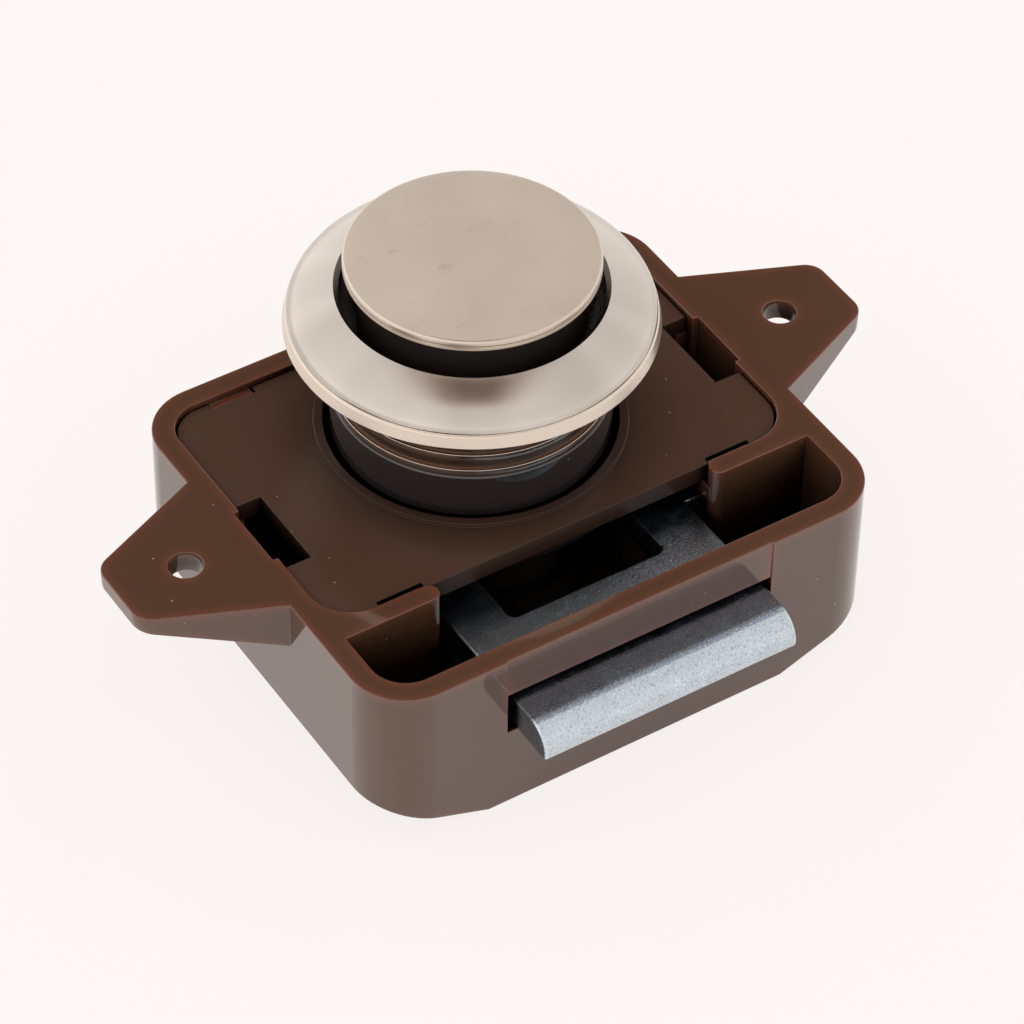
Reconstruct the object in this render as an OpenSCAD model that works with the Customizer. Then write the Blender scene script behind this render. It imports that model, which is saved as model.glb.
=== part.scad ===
// Push button cabinet lock: a case that screws to the back of a panel, a sprung
// bolt at its front edge and a knob that latches in to lock and springs out to release.
// Z = 0 is the mounting face, Z runs out along the knob and the bolt throws along -Y.

/* [Panel] */
// Diameter of the panel hole that the tube and the rosette's collar enter
panel_hole_d = 26; // [25:0.1:27]
// Gap between the panel hole and the tube
panel_gap = 0.2; // [0.05:0.05:0.4]

/* [Case] */
// Width of the case between its side faces
case_w = 52.3; // [50:0.1:60]
// Distance from the knob axis to the front face
case_front = 28; // [27:0.1:34]
// Distance from the knob axis to the rear face
case_rear = 16; // [15.8:0.1:22]
// Depth of the case behind the mounting face
case_h = 17.8; // [17.2:0.1:24]
// Thickness of the case walls
wall = 2.1; // [1.6:0.1:2.4]
// Thickness of the case floor
floor_t = 1.6; // [1.2:0.1:2]
// Radius of the upright corners
corner_r = 5.5; // [4:0.1:8]
// Width of the flat strip along the bottom
keel_w = 31; // [26:0.5:38]
// Height by which the bottom rises towards the side walls
keel_rise = 4; // [2:0.1:5]
// Distance from the knob axis to the rear face of the cross walls
cross_wall_y = 16.4; // [16.2:0.1:17]
// Thickness of the cross walls behind the front bay
cross_wall_t = 1.9; // [1.4:0.1:2.4]
// Room between the bolt and each cross wall
cross_wall_room = 1.1; // [0.8:0.1:2]

/* [Ears] */
// Distance between the two screw holes
hole_spacing = 62.7; // [61:0.1:67]
// Diameter of the screw holes
hole_d = 3.1; // [2.6:0.1:4]
// How far the screw line lies in front of the knob axis
hole_line = 3.4; // [0:0.1:6]
// Span over the tips of the ears
ear_span = 76.2; // [73:0.1:84]
// Width of an ear where it meets the case
ear_root_w = 17.9; // [14:0.1:22]
// Width of an ear at its tip
ear_tip_w = 7.6; // [6:0.1:10]
// Radius of the tip corners
ear_tip_r = 2; // [1:0.1:2.5]
// Thickness of an ear where it meets the case
ear_root_t = 5.1; // [3:0.1:7]
// Thickness of an ear at its tip
ear_tip_t = 1.6; // [1:0.1:2.5]
// Thickness of an ear round its screw hole, above the hollow below it
ear_web_t = 2.2; // [1.6:0.1:2.8]
// Thickness of the walls round that hollow
ear_wall = 1.7; // [1.2:0.1:2.2]

/* [Cover] */
// Depth of the cover below the mounting face
cover_drop = 0.5; // [0.2:0.1:0.8]
// Thickness of the cover
cover_t = 1.9; // [1.6:0.1:2.2]
// Radius of the cover's front corners
cover_corner_r = 4.2; // [3:0.1:5]
// Height of the raised lip round the cover's hole
lip_h = 0.35; // [0.1:0.05:0.45]
// Width of the raised lip
lip_w = 0.85; // [0.5:0.05:1.5]
// Width of the slot in each side of the cover
slot_w = 2.6; // [1.5:0.1:4]
// Length of the slot in each side of the cover
slot_l = 8.8; // [6:0.1:10]
// Depth of the relief in the side wall beside each slot
slot_relief = 0.5; // [0.3:0.1:0.9]
// Distance from the middle to each snap catch
catch_x = 17.1; // [17:0.1:18]
// Width of a snap catch
catch_w = 4.3; // [3:0.1:5]
// How far a snap catch reaches over the cover
catch_reach = 0.55; // [0.3:0.05:0.8]

/* [Guide tube] */
// Wall thickness of the tube
tube_wall = 2.1; // [1.6:0.1:2.4]
// Height of the tube above the mounting face
tube_rise = 4.25; // [3:0.05:8]
// Play between the tube and the hole in the cover
tube_play = 0.55; // [0.4:0.05:1.2]
// How far the flange that holds the tube reaches under the cover
tube_flange_reach = 2.8; // [2:0.1:3]
// Thickness of that flange
tube_flange_t = 1.4; // [1:0.1:1.6]

/* [Rosette] */
// How far the rosette reaches over the panel round the hole
rosette_reach = 3.75; // [2.5:0.05:6]
// Height of its outer band
rosette_band = 1.4; // [1:0.05:2.5]
// How far the band tapers in on the way up to the dome
band_taper = 0.12; // [0.04:0.02:0.4]
// Height of the rosette from its seat to its mouth
rosette_h = 4.3; // [3.6:0.1:6]
// Radius at which the dome's curve would be level, inside the mouth
dome_level_r = 4; // [0:0.5:10]
// Width of the bevel inside the mouth
mouth_bevel = 0.35; // [0.2:0.05:0.7]
// Length of the collar that enters the panel hole
collar_l = 6.95; // [5:0.05:10]
// Room between the collar and the panel hole, which its ribs take up
collar_inset = 0.6; // [0.5:0.05:0.8]
// Thickness of the collar's wall
collar_wall = 0.65; // [0.5:0.05:0.9]
// Distance from one rib round the collar to the next
rib_pitch = 1.8; // [1.4:0.1:2.4]
// Width of a rib
rib_w = 0.65; // [0.4:0.05:0.9]
// Room between the ribs and the panel hole
rib_gap = 0.36; // [0.3:0.02:0.5]

/* [Knob] */
// Height of the knob's face above the mounting face with the knob latched in
knob_top = 19.1; // [17.5:0.1:24]
// Thickness of the metal cap
cap_t = 1.35; // [1.2:0.05:2]
// How far the cap overhangs the core
cap_overhang = 1.2; // [0.8:0.1:1.6]
// Diameter of the boss under the cap
cap_boss_d = 8; // [7:0.1:10]
// Depth of the boss under the cap
cap_boss_h = 4; // [3:0.1:5]
// Diameter of the core's shank, which screws into the plunger
shank_d = 6.8; // [6.6:0.1:7.4]
// Diameter of the screw through the core
screw_d = 4; // [3:0.1:4]

/* [Motion] */
// How far the knob springs out
knob_travel = 8; // [7.4:0.1:8.2]
// How far the latched knob can be pressed in to let it go
press_travel = 0.8; // [0.5:0.1:0.9]
// How far the bolt draws back
bolt_throw = 5.2; // [4.6:0.1:5.6]

/* [Bolt] */
// Width of the bolt
bolt_w = 26.2; // [25:0.1:26.6]
// Thickness of the bolt
bolt_t = 3.2; // [2.8:0.1:3.8]
// Depth of the bolt's upper face below the mounting face
bolt_depth = 5; // [4.9:0.1:5.6]
// How far the bolt stands out of the front face
bolt_reach = 5.1; // [4:0.1:6]
// Radius of the rounded upper edge of the nose
nose_r = 2.6; // [1.5:0.1:2.7]
// Width of the window in the bolt
window_w = 16.1; // [15.8:0.1:17]
// Distance from the knob axis to the front edge of the window
window_front = 19.6; // [19:0.1:20.5]
// Radius of the window's corners
window_r = 0.8; // [0.6:0.1:2.5]
// Distance from the knob axis back to the ends of the bolt's arms
arm_rear = 4; // [3.4:0.1:5]
// Thickness of the spring lugs on the arms
lug_t = 3; // [2:0.1:3.5]
// How far the lugs stop short of the cross walls with the bolt thrown
lug_stop = 0.9; // [0.7:0.1:1.2]

/* [Plunger] */
// Diameter of the spring chamber in the plunger
chamber_d = 9.2; // [8.8:0.1:9.6]
// Wall between the spring chamber and the channels for the bolt's feet
chamber_wall = 0.7; // [0.5:0.1:0.9]
// Depth of the spring chamber's upper end below the mounting face
chamber_top = 5; // [4.6:0.1:6]
// How far the wedge's upper end lies in front of the knob axis
wedge_front = 3; // [2.4:0.1:3.6]
// Depth of the flat on the plunger's back that carries the latch track
track_inset = 1.5; // [1.2:0.1:1.9]
// Depth of the latch track
track_depth = 1.3; // [0.8:0.1:1.6]
// Half the width of the heart-shaped loop in the track
heart_half = 2; // [1.6:0.1:2.4]

/* [Springs] */
// Wire diameter of the return spring
return_wire = 0.9; // [0.6:0.05:1]
// Mean diameter of the return spring
return_d = 7.4; // [6.8:0.1:7.6]
// Curls in the return spring
return_curls = 6; // [4:1:7]
// Wire diameter of the bolt springs
bolt_wire = 0.5; // [0.4:0.05:0.7]
// Mean diameter of the bolt springs
bolt_spring_d = 3.4; // [3:0.1:3.8]
// Curls in each bolt spring
bolt_curls = 9; // [6:1:10]
// Gap between the bolt's arms and its springs
bolt_spring_gap = 0.75; // [0.5:0.05:1.2]
// Distance from the knob axis back to the abutments behind the bolt springs
abutment_y = 1.6; // [1:0.1:3]
// Thickness of the abutments
abutment_t = 2; // [1.5:0.1:2.5]
// Wire diameter of the latch wire
latch_wire_d = 0.7; // [0.5:0.05:0.8]
// Mean diameter of the latch wire's coil
latch_coil_d = 4; // [3.6:0.1:4.4]
// Half turns in the latch wire's coil
latch_half_turns = 5; // [3:2:5]

/* [Clearances] */
// Gap round pieces that slide
slide_gap = 0.2; // [0.1:0.05:0.25]
// Gap round pieces that are fitted and stay
fit_gap = 0.15; // [0.05:0.05:0.2]
// Gap between the knob and the rosette's bore
knob_gap = 0.35; // [0.25:0.05:0.5]

/* [Hidden] */
$fn = 96;
overlap = 1;
case_brown = "#5a3a2e";
cover_brown = "#45312a";
black_plastic = "#1c1c1e";
satin_nickel = "#cfc4b8";
zinc_plate = "#a3adb8";
spring_steel = "#8d8f93";

// Case levels and inner faces
half_w = case_w / 2;
in_w = half_w - wall;
front_in = -case_front + wall;
rear_in = case_rear - wall;
floor_z = -case_h + floor_t;
in_corner_r = corner_r - wall;
cross_wall_gap = bolt_w / 2 + cross_wall_room;
ear_slope = (ear_root_w - ear_tip_w) / 2 / (ear_span / 2 - half_w);

// Cover
cover_z = -cover_drop - cover_t;
cover_half = in_w - fit_gap;
cover_front = -cross_wall_y + fit_gap;
cover_rear = rear_in - fit_gap;
shelf_w = 1.1;
shelf_h = 1.6;
notch_depth = catch_reach + 0.2;
lip_under_catch = 0.7;
catch_t = 0.8;

// Guide tube
tube_r = panel_hole_d / 2 - panel_gap;
flange_r = tube_r + tube_flange_reach;
bore_r = tube_r - tube_wall;
tube_relief = 0.2;
tube_chamfer = 0.15;
flange_z = cover_z - tube_flange_t;
hole_r = tube_r + tube_play;
rear_gap = sqrt(max(0, pow(hole_r + lip_w, 2) - pow(cover_rear, 2))) + 0.3;

// Bolt levels
bolt_z = -bolt_depth;
bolt_under = bolt_z - bolt_t;
bolt_mid = bolt_z - bolt_t / 2;
bolt_tip = -case_front - bolt_reach;
tube_end = bolt_z + 3 * slide_gap;
nose_foot_r = 0.8 * (bolt_t - nose_r);

// Plunger: the wedge draws the bolt back as the plunger rises
plunger_r = bore_r - slide_gap;
plunger_top = tube_rise - slide_gap;
plunger_foot = floor_z + press_travel + slide_gap;
shoulder_z = bolt_z + press_travel + 1.5 * slide_gap;
leg_half = window_w / 2 - 1.5 * slide_gap;
channel_x = chamber_d / 2 + chamber_wall;
foot_x = channel_x + 1.5 * slide_gap;
wedge_ratio = bolt_throw / knob_travel;
stop_half = 5;
stop_reach = 1.4;
stop_z = tube_end - knob_travel - slide_gap;

// Latch track and wire
track_y = plunger_r - track_inset;
track_w = latch_wire_d + 2 * slide_gap;
pin_z = plunger_foot + knob_travel + 1.2 * track_w;
post_z = floor_z + latch_coil_d / 2 + latch_wire_d + 0.5;
coil_pitch = latch_wire_d + 0.45;
coil_front = rear_in - latch_wire_d / 2 - fit_gap - coil_pitch * latch_half_turns / 2;

// Springs
bolt_spring_x = bolt_w / 2 + bolt_spring_gap + (bolt_spring_d + bolt_wire) / 2;
lug_front = -cross_wall_y + lug_stop;
lug_rear = lug_front + lug_t;
lug_half_w = bolt_spring_d / 2 + bolt_wire + 0.3;
stud_r = bolt_spring_d / 2 - bolt_wire / 2 - 0.25;
stud_l = 1.8;
seat_r = return_d / 2 - return_wire / 2 - 0.4;
seat_h = 2;
ring_steps = 8;
wire_sides = 6;

// Rosette and knob
collar_r = panel_hole_d / 2 - collar_inset;
ring_bore = collar_r - collar_wall;
mouth_r = ring_bore + mouth_bevel;
rib_r = panel_hole_d / 2 - rib_gap;
rim_r = panel_hole_d / 2 + rosette_reach;
knob_r = ring_bore - knob_gap;
cap_under = knob_top - cap_t;
core_r = knob_r - cap_overhang;
core_foot = plunger_top + fit_gap;
shank_r = shank_d / 2;
shank_end = -chamber_top + 2.5;
screw_r = screw_d / 2;
screw_head_r = shank_r - 0.3;
screw_head_h = 2;
screw_tip = cap_under - 0.6;

// Height of the outer bottom at a distance from the middle
function keel_z(x) = -case_h + max(0, x - keel_w / 2) * keel_rise / (half_w - keel_w / 2);

// Half the width of an ear at a distance from the middle
function ear_half(x) = ear_tip_w / 2 + ear_slope * (ear_span / 2 - x);

// Face of the wedge at a height, with the knob latched in
function wedge_y(z) = -wedge_front + wedge_ratio * (bolt_z - z);

// Points of an arc, with both ends
function arc(centre, r, from, to, steps) =
    [for (i = [0:steps])
        let (a = from + (to - from) * i / steps)
        centre + r * [cos(a), sin(a)]];

// Points of a helix about Z, with both ends
function helix(r, pitch, turns, steps) =
    [for (i = [0:turns * steps])
        let (a = 360 * i / steps)
        [r * cos(a), r * sin(a), pitch * i / steps]];

// Least distance between points of a coil that lie about one curl apart, less the wire
function coil_gap(points, steps, wire) =
    min([for (i = [0:len(points) - steps - 1])
        min([for (j = [i + steps - 2:min(i + steps + 2, len(points) - 1)])
            norm(points[j] - points[i])])]) - wire;

function unit(v) = v / norm(v);

// Direction of a path at one of its points
function heading(path, i) =
    unit(path[min(i + 1, len(path) - 1)] - path[max(i - 1, 0)]);

// A side direction carried along the path without twisting
function sides_along(path, i = 0, last = undef) =
    let (
        t = heading(path, i),
        guess = is_undef(last) ? (abs(t[0]) < 0.9 ? [1, 0, 0] : [0, 1, 0]) : last,
        side = unit(guess - (guess * t) * t)
    )
    i == len(path) - 1 ? [side] : concat([side], sides_along(path, i + 1, side));

// A closed wire of round section along a path
module wire(path, diameter) {
    sides = sides_along(path);
    n = len(path);
    rings = [for (i = [0:n - 1])
        let (t = heading(path, i), u = sides[i], v = cross(t, u))
        for (k = [0:wire_sides - 1])
            let (a = 360 * k / wire_sides)
            path[i] + diameter / 2 * (cos(a) * u + sin(a) * v)];
    walls = [for (i = [0:n - 2]) for (k = [0:wire_sides - 1])
        let (
            a = i * wire_sides + k,
            b = i * wire_sides + (k + 1) % wire_sides,
            c = b + wire_sides,
            d = a + wire_sides
        )
        each [[a, c, b], [a, d, c]]];
    start = [for (k = [1:wire_sides - 2]) [0, k, k + 1]];
    base = (n - 1) * wire_sides;
    finish = [for (k = [1:wire_sides - 2]) [base, base + k + 1, base + k]];
    polyhedron(rings, concat(walls, start, finish), convexity = 10);
}

// A plate outline with round corners, r0 at its front and r1 at its rear
module rounded_rect(half_x, y0, y1, r0, r1) {
    translate([-half_x, y0 + r0]) square([2 * half_x, y1 - y0 - r0 - r1]);
    translate([-half_x + r0, y0]) square([2 * half_x - 2 * r0, y1 - y0 - r1]);
    translate([-half_x + r1, y0 + r0]) square([2 * half_x - 2 * r1, y1 - y0 - r0]);
    for (side = [-1, 1]) {
        translate([side * (half_x - r0), y0 + r0]) circle(r0);
        translate([side * (half_x - r1), y1 - r1]) circle(r1);
    }
}

module both_sides() {
    children();
    mirror([1, 0, 0]) children();
}

// A box given by its lowest and highest corners
module block(low, high) {
    translate(low) cube(high - low);
}

// A section in Y and Z, extruded along X between two distances from the middle
module side_section(x0, x1, points) {
    translate([x0, 0, 0]) rotate([90, 0, 90]) linear_extrude(x1 - x0) polygon(points);
}

// The shape below the mounting face, seen from the front
module keel_prism(half_x, lift, top) {
    rotate([90, 0, 0]) linear_extrude(4 * case_front, center = true)
        polygon([
            [-half_x, top],
            [-half_x, keel_z(half_x) + lift],
            [-keel_w / 2, -case_h + lift],
            [keel_w / 2, -case_h + lift],
            [half_x, keel_z(half_x) + lift],
            [half_x, top]
        ]);
}

module case_outside() {
    intersection() {
        translate([0, 0, -case_h]) linear_extrude(case_h)
            rounded_rect(half_w, -case_front, case_rear, corner_r, corner_r);
        keel_prism(half_w, 0, 0);
    }
}

module case_cavity() {
    intersection() {
        translate([0, 0, -case_h]) linear_extrude(case_h + overlap)
            rounded_rect(in_w, front_in, rear_in, in_corner_r, in_corner_r);
        keel_prism(in_w, floor_t, overlap);
    }
}

// One ear in plan, with its tip corners rounded
module ear_plan() {
    tip = ear_span / 2;
    lean = atan(ear_slope);
    edge = [for (x = [half_w - wall / 2, tip - ear_tip_r]) ear_half(x)];
    corner_y = edge[1] - ear_tip_r / cos(lean);
    touch = [tip - ear_tip_r + ear_tip_r * sin(lean), corner_y + ear_tip_r * cos(lean)];
    polygon([
        [half_w - wall / 2, -edge[0]],
        [touch[0], -touch[1]],
        [tip - ear_tip_r, -corner_y],
        [tip, -corner_y],
        [tip, corner_y],
        [tip - ear_tip_r, corner_y],
        touch,
        [half_w - wall / 2, edge[0]]
    ]);
    for (y = [-corner_y, corner_y])
        translate([tip - ear_tip_r, y]) circle(ear_tip_r);
}

// One ear: flush with the mounting face above, tapering to its tip below
module ear() {
    translate([0, -hole_line, 0]) intersection() {
        translate([0, 0, -ear_root_t - overlap]) linear_extrude(ear_root_t + overlap)
            ear_plan();
        rotate([90, 0, 0]) linear_extrude(2 * ear_root_w, center = true)
            polygon([
                [half_w - wall, 0],
                [ear_span / 2 + overlap, 0],
                [ear_span / 2 + overlap, -ear_tip_t],
                [ear_span / 2, -ear_tip_t],
                [half_w, -ear_root_t],
                [half_w - wall, -ear_root_t]
            ]);
    }
}

// Hollow under one ear, between its walls and the side of the case
module ear_hollow() {
    inset = ear_wall / cos(atan(ear_slope));
    end = (hole_spacing + hole_d) / 2 + ear_wall;
    translate([0, -hole_line, -ear_root_t - overlap])
        linear_extrude(ear_root_t + overlap - ear_web_t)
            polygon([
                [half_w, inset - ear_half(half_w)],
                [end, inset - ear_half(end)],
                [end, ear_half(end) - inset],
                [half_w, ear_half(half_w) - inset]
            ]);
}

// Cross wall behind one front pocket, with a round end beside the bolt
module cross_wall() {
    end_r = cross_wall_t / 2;
    block([cross_wall_gap + end_r, -cross_wall_y - cross_wall_t, -case_h], [half_w, -cross_wall_y, 0]);
    translate([cross_wall_gap + end_r, -cross_wall_y - end_r, -case_h]) cylinder(h = case_h, r = end_r);
}

// Rounded inner corner between one cross wall and the side wall, round the cover's corner
module recess_corner() {
    r = cover_corner_r;
    translate([in_w - r, -cross_wall_y + r, -case_h]) linear_extrude(case_h) difference() {
        translate([0, -r - cross_wall_t / 2]) square([r + wall / 2, r + cross_wall_t / 2]);
        circle(r);
    }
}

// Shelf that carries the cover, open beside the side slots
module cover_shelf() {
    difference() {
        translate([0, 0, cover_z - shelf_h]) linear_extrude(shelf_h) difference() {
            rounded_rect(in_w + wall / 2, -cross_wall_y - wall / 2, rear_in + wall / 2,
                         cover_corner_r, in_corner_r);
            rounded_rect(in_w - shelf_w, -cross_wall_y + shelf_w, rear_in - shelf_w,
                         cover_corner_r, in_corner_r);
            translate([-cross_wall_gap, -cross_wall_y - wall]) square([2 * cross_wall_gap, 2 * wall]);
            circle(r = flange_r + fit_gap);
        }
        both_sides() block(
            [in_w - 2 * shelf_w, -hole_line - slot_l / 2, cover_z - shelf_h - overlap],
            [half_w, -hole_line + slot_l / 2, cover_z + overlap]);
    }
}

// Snap catches over the cover's edge
module catches() {
    low = cover_z + lip_under_catch + fit_gap;
    top = low + catch_t;
    both_sides() {
        block([catch_x - catch_w / 2, -cross_wall_y - cross_wall_t / 2, low],
              [catch_x + catch_w / 2, -cross_wall_y + fit_gap + catch_reach, top]);
        block([catch_x - catch_w / 2, rear_in - fit_gap - catch_reach, low],
              [catch_x + catch_w / 2, rear_in + wall / 2, top]);
    }
}

// Rails under the bolt's arms
module rails() {
    rail_x = (window_w / 2 + bolt_w / 2) / 2;
    rail_w = 2.4;
    both_sides() block(
        [rail_x - rail_w / 2, -cross_wall_y - cross_wall_t, -case_h],
        [rail_x + rail_w / 2, rear_in + wall / 2, bolt_under - slide_gap]);
}

// Abutments behind the bolt springs, which also carry the tube's flange
module abutments() {
    both_sides() {
        block([bolt_w / 2 + 2 * slide_gap, abutment_y, -case_h],
              [bolt_spring_x + lug_half_w, abutment_y + abutment_t, flange_z]);
        translate([bolt_spring_x, abutment_y, bolt_mid]) rotate([90, 0, 0]) cylinder(h = stud_l, r = stud_r);
    }
}

// Ledges on the rear wall under the tube's flange
module flange_ledges() {
    ledge_reach = rear_in - tube_r - 0.1;
    ledge_from = 0.3 * tube_r;
    ledge_to = 0.7 * tube_r;
    both_sides() block([ledge_from, rear_in - ledge_reach, flange_z - shelf_h],
                       [ledge_to, rear_in + wall / 2, flange_z]);
}

// Post for the latch wire's coil, with the stop that its tail bears on
module latch_post() {
    post_r = latch_coil_d / 2 - latch_wire_d / 2 - 0.2;
    tail_x = latch_coil_d / 2 + latch_wire_d / 2 + fit_gap;
    translate([0, rear_in + wall / 2, post_z]) rotate([90, 0, 0])
        cylinder(h = rear_in + wall / 2 - coil_front, r = post_r);
    block([-tail_x - 1.6, rear_in - 1.6, post_z + 1], [-tail_x, rear_in + wall / 2, post_z + 5]);
}

module spring_seat() {
    translate([0, 0, -case_h]) cylinder(h = floor_t + seat_h, r = seat_r);
}

module case() {
    slot_half = bolt_w / 2 + 3 * slide_gap;
    slot_top = bolt_z + 3 * slide_gap;
    witness = 0.15;
    relief_half = slot_l / 2 - 2 * slot_relief;
    color(case_brown) difference() {
        union() {
            difference() {
                case_outside();
                case_cavity();
            }
            intersection() {
                case_outside();
                union() {
                    both_sides() cross_wall();
                    both_sides() recess_corner();
                    cover_shelf();
                    catches();
                    rails();
                    abutments();
                    flange_ledges();
                    latch_post();
                    spring_seat();
                }
            }
            both_sides() ear();
        }
        block([-slot_half, -case_front - overlap, bolt_under - 3 * slide_gap],
              [slot_half, front_in + overlap, slot_top]);
        block([-slot_half, -case_front - overlap, slot_top - overlap],
              [slot_half, -case_front + witness, overlap]);
        both_sides() {
            ear_hollow();
            block([in_w - overlap, -hole_line - relief_half, cover_z - 3 * shelf_h],
                  [in_w + slot_relief, -hole_line + relief_half, overlap]);
            translate([hole_spacing / 2, -hole_line, -ear_root_t - overlap])
                cylinder(h = ear_root_t + 2 * overlap, d = hole_d);
        }
    }
}

module cover() {
    notch_half = catch_w / 2 + fit_gap;
    notch_z = cover_z + lip_under_catch;
    color(cover_brown) difference() {
        union() {
            translate([0, 0, cover_z]) linear_extrude(cover_t)
                rounded_rect(cover_half, cover_front, cover_rear, cover_corner_r, in_corner_r);
            translate([0, 0, -cover_drop - overlap]) cylinder(h = overlap + lip_h, r = hole_r + lip_w);
        }
        translate([0, 0, cover_z - overlap]) cylinder(h = cover_t + 2 * overlap, r = hole_r);
        block([-rear_gap, 0, cover_z - overlap], [rear_gap, case_rear, overlap]);
        both_sides() {
            block([cover_half - slot_w, -hole_line - slot_l / 2, cover_z - overlap],
                  [half_w, -hole_line + slot_l / 2, overlap]);
            block([catch_x - notch_half, cover_front - overlap, notch_z],
                  [catch_x + notch_half, cover_front + notch_depth, overlap]);
            block([catch_x - notch_half, cover_rear - notch_depth, notch_z],
                  [catch_x + notch_half, cover_rear + overlap, overlap]);
        }
    }
}

module guide_tube() {
    color(black_plastic) intersection() {
        rotate_extrude() polygon([
            [bore_r, tube_end],
            [tube_r - tube_relief, tube_end],
            [tube_r - tube_relief, flange_z],
            [flange_r, flange_z],
            [flange_r, cover_z],
            [tube_r - tube_relief, cover_z],
            [tube_r - tube_relief, 0],
            [tube_r, 0],
            [tube_r, tube_rise - tube_chamfer],
            [tube_r - tube_chamfer, tube_rise],
            [bore_r, tube_rise]
        ]);
        block([-flange_r - overlap, -flange_r - overlap, tube_end - overlap],
              [flange_r + overlap, rear_in - fit_gap, tube_rise + overlap]);
    }
}

// The rosette's ribbed collar stands on the tube's top edge until a panel comes between them
module rosette() {
    seat_z = tube_rise + collar_l;
    mouth_z = seat_z + rosette_h;
    band_top = seat_z + rosette_band;
    edge_r = 0.25;
    lip = 0.1;
    ribs = floor((collar_l - 1.5 * rib_w) / rib_pitch);
    dome_from = mouth_r + lip;
    dome_w = rim_r - band_taper - dome_level_r;
    mouth_turn = acos((dome_from - dome_level_r) / dome_w);
    dome_h = (mouth_z - band_top) / sin(mouth_turn);
    color(satin_nickel) rotate_extrude() polygon(concat(
        [for (i = [0:ribs])
            let (z = tube_rise + i * rib_pitch)
            each [[i == 0 ? ring_bore : collar_r, z], [rib_r, z], [rib_r, z + rib_w], [collar_r, z + rib_w]]],
        [[collar_r, seat_z]],
        arc([rim_r - edge_r, seat_z + edge_r], edge_r, -90, 0, 4),
        [for (i = [0:12])
            let (a = mouth_turn * i / 12)
            [dome_level_r + dome_w * cos(a), band_top + dome_h * sin(a)]],
        [[mouth_r, mouth_z - lip],
         [ring_bore, mouth_z - lip - mouth_bevel]]
    ));
}

module knob_cap() {
    r = knob_r;
    bevel = 0.3;
    groove_z = cap_under + 0.42;
    groove = 0.12;
    color(satin_nickel) rotate_extrude() polygon([
        [0, knob_top],
        [r - bevel, knob_top],
        [r, knob_top - bevel],
        [r, groove_z + groove],
        [r - groove, groove_z],
        [r, groove_z - groove],
        [r, cap_under + groove],
        [r - groove, cap_under],
        [cap_boss_d / 2, cap_under],
        [cap_boss_d / 2, cap_under - cap_boss_h],
        [screw_r + fit_gap, cap_under - cap_boss_h],
        [screw_r + fit_gap, screw_tip + fit_gap],
        [0, screw_tip + fit_gap]
    ]);
}

module knob_core() {
    boss_r = cap_boss_d / 2 + fit_gap;
    boss_end = cap_under - cap_boss_h - fit_gap;
    foot_bevel = 0.6;
    color(black_plastic) rotate_extrude() polygon([
        [screw_r + fit_gap, shank_end],
        [shank_r - foot_bevel, shank_end],
        [shank_r, shank_end + foot_bevel],
        [shank_r, core_foot],
        [core_r - foot_bevel, core_foot],
        [core_r, core_foot + foot_bevel],
        [core_r, cap_under],
        [boss_r, cap_under],
        [boss_r, boss_end],
        [screw_r + fit_gap, boss_end]
    ]);
}

// Screw that draws the cap down on the core from below
module knob_screw() {
    drive_w = 0.8;
    head_z = shank_end - screw_head_h;
    color(spring_steel) difference() {
        union() {
            translate([0, 0, head_z]) cylinder(h = screw_head_h, r = screw_head_r);
            translate([0, 0, head_z]) cylinder(h = screw_tip - head_z, r = screw_r);
        }
        for (a = [0, 90])
            rotate(a) block([-screw_head_r * 0.6, -drive_w / 2, head_z - overlap],
                            [screw_head_r * 0.6, drive_w / 2, head_z + screw_head_h * 0.6]);
    }
}

// One straight run of the latch track between two points in X and Z
module track_run(from, to) {
    span = to - from;
    translate([from[0], track_y - track_depth, from[1]]) rotate([0, -atan2(span[1], span[0]), 0])
        translate([0, 0, -track_w / 2]) cube([norm(span), track_depth + overlap, track_w]);
}

// Round pocket where the track turns, a little wider than its runs
module track_turn(point) {
    translate([point[0], track_y - track_depth, point[1]]) rotate([-90, 0, 0])
        cylinder(h = track_depth + overlap, d = 1.16 * track_w);
}

// Heart-shaped loop: up one side, into the notch that latches, down the other side
module latch_track() {
    home = [0, pin_z - knob_travel];
    latch = [0, pin_z];
    peak = [heart_half * 0.62, pin_z + press_travel];
    shoulder = [heart_half, pin_z - 0.8];
    waist = [heart_half, pin_z - knob_travel * 0.45];
    loop = [home, waist, shoulder, peak, latch];
    both_sides() {
        for (i = [0:len(loop) - 2])
            track_run(loop[i], loop[i + 1]);
        for (turn = [waist, shoulder, peak])
            track_turn(turn);
    }
    for (turn = [home, latch])
        track_turn(turn);
}

// Round above, narrowed below to pass through the bolt's window, with a stop at its front foot
module plunger() {
    out = plunger_r + stop_reach + overlap;
    below = plunger_foot - overlap;
    color(black_plastic) difference() {
        union() {
            translate([0, 0, plunger_foot]) cylinder(h = plunger_top - plunger_foot, r = plunger_r);
            intersection() {
                translate([0, 0, plunger_foot])
                    cylinder(h = stop_z - plunger_foot, r = plunger_r + stop_reach);
                block([-stop_half, -out, plunger_foot - overlap], [stop_half, 0, stop_z + overlap]);
            }
        }
        block([-out, track_y, below], [out, out, shoulder_z]);
        both_sides() {
            block([leg_half, -out, below], [out, out, shoulder_z]);
            side_section(channel_x, out, [
                [wedge_y(shoulder_z), shoulder_z],
                [wedge_y(below), below],
                [out, below],
                [out, shoulder_z]
            ]);
        }
        translate([0, 0, below]) cylinder(h = -chamber_top - below, d = chamber_d);
        translate([0, 0, -chamber_top - overlap])
            cylinder(h = plunger_top + chamber_top + 2 * overlap, r = shank_r + fit_gap / 3);
        latch_track();
    }
}

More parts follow.
